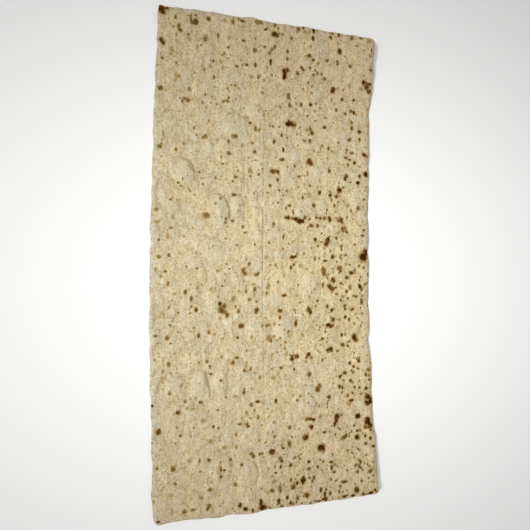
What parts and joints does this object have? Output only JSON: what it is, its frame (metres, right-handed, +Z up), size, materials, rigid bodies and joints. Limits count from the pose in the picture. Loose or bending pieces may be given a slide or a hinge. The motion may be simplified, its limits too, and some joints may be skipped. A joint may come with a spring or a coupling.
{
  "type": "pizza crust",
  "caption": "Large rectangular sheet of very thin baked flatbread, blistered and toasted in spots, to be topped as a pizza.",
  "frame": {"origin": "on the table, under the middle of the sheet's bounding box", "axes": "+X across the sheet, +Y along its length, +Z up out of the browned side"},
  "size_m": [0.29, 0.6044, 0.0105],
  "materials": {
    "baked_crumb": "dry matt baked dough, pale cream with brown toasted spots"
  },
  "bodies": {
    "root": {"crust": "baked_crumb"}
  },
  "joints": []
}
